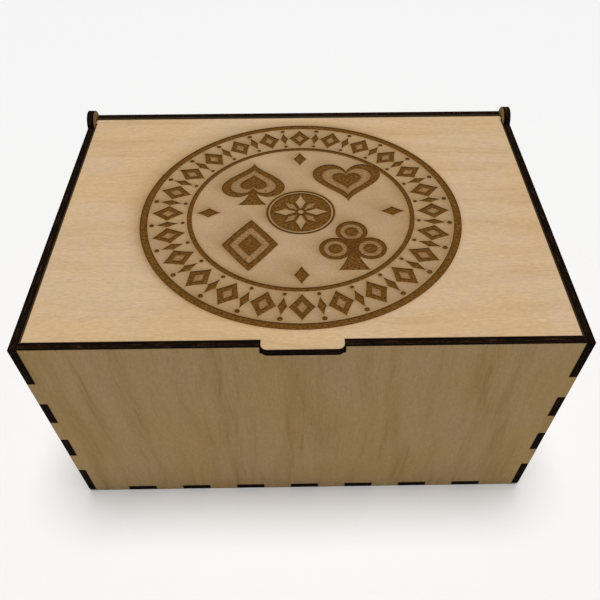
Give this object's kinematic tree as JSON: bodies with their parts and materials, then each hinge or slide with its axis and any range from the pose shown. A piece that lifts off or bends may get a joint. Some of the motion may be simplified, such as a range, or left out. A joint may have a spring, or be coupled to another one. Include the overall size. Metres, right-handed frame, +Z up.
{
  "type": "card deck box",
  "caption": "Rectangular finger-jointed plywood box for card decks, with a flat inset lid that swings open on pegs in rounded ears at the rear corners.",
  "frame": {"origin": "centre of the underside of the box, between the outer faces of its four walls", "axes": "+X to the right across the front, +Y from the front to the hinge side, +Z up"},
  "size_m": [0.2032, 0.1536, 0.1064],
  "materials": {
    "plywood_walls": "unfinished laser-cut basswood plywood with scorched edges",
    "plywood_base": "unfinished laser-cut basswood plywood with scorched edges",
    "plywood_lid": "unfinished laser-cut basswood plywood with an engraved emblem"
  },
  "bodies": {
    "box": {"base_panel": "plywood_base", "front_panel": "plywood_walls", "rear_panel": "plywood_walls", "left_side_panel": "plywood_walls", "right_side_panel": "plywood_walls"},
    "lid": {"lid": "plywood_lid"}
  },
  "joints": [
    {"name": "lid_hinge", "type": "hinge", "parent": "box", "child": "lid", "pos_m": [0, 0.06985, 0.10001], "axis": [-1, 0, 0], "range_deg": [0, 126]}
  ]
}
